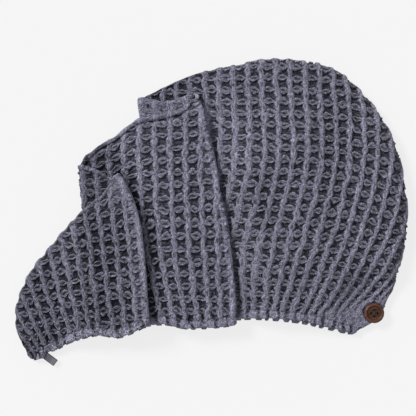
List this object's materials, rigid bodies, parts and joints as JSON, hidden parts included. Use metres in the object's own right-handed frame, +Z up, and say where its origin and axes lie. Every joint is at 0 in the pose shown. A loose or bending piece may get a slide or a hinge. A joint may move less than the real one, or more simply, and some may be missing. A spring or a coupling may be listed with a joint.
{
  "type": "hair turban towel",
  "caption": "Waffle-cloth hair turban towel lying in knife pleats: a tapered two-panel hood with a gathered hem, a wooden button and an elastic loop.",
  "frame": {"origin": "middle of the towel's bounding box at its underside, where it lies on the floor", "axes": "+X from the tail's tip to the hood's back, +Y from the open hem to the crown edge, +Z up"},
  "size_m": [0.355, 0.278, 0.0366],
  "materials": {
    "waffle_cloth": "grey waffle-weave cotton",
    "hem_cloth": "the same cotton, smooth and gathered",
    "wood": "dark brown, turned, satin",
    "thread": "dark sewing thread",
    "elastic": "grey flat elastic"
  },
  "bodies": {
    "root": {"front_panel": "waffle_cloth", "back_panel": "waffle_cloth", "front_hem": "hem_cloth", "back_hem": "hem_cloth", "button": "wood", "button_thread": "thread", "elastic_loop": "elastic"}
  },
  "joints": []
}
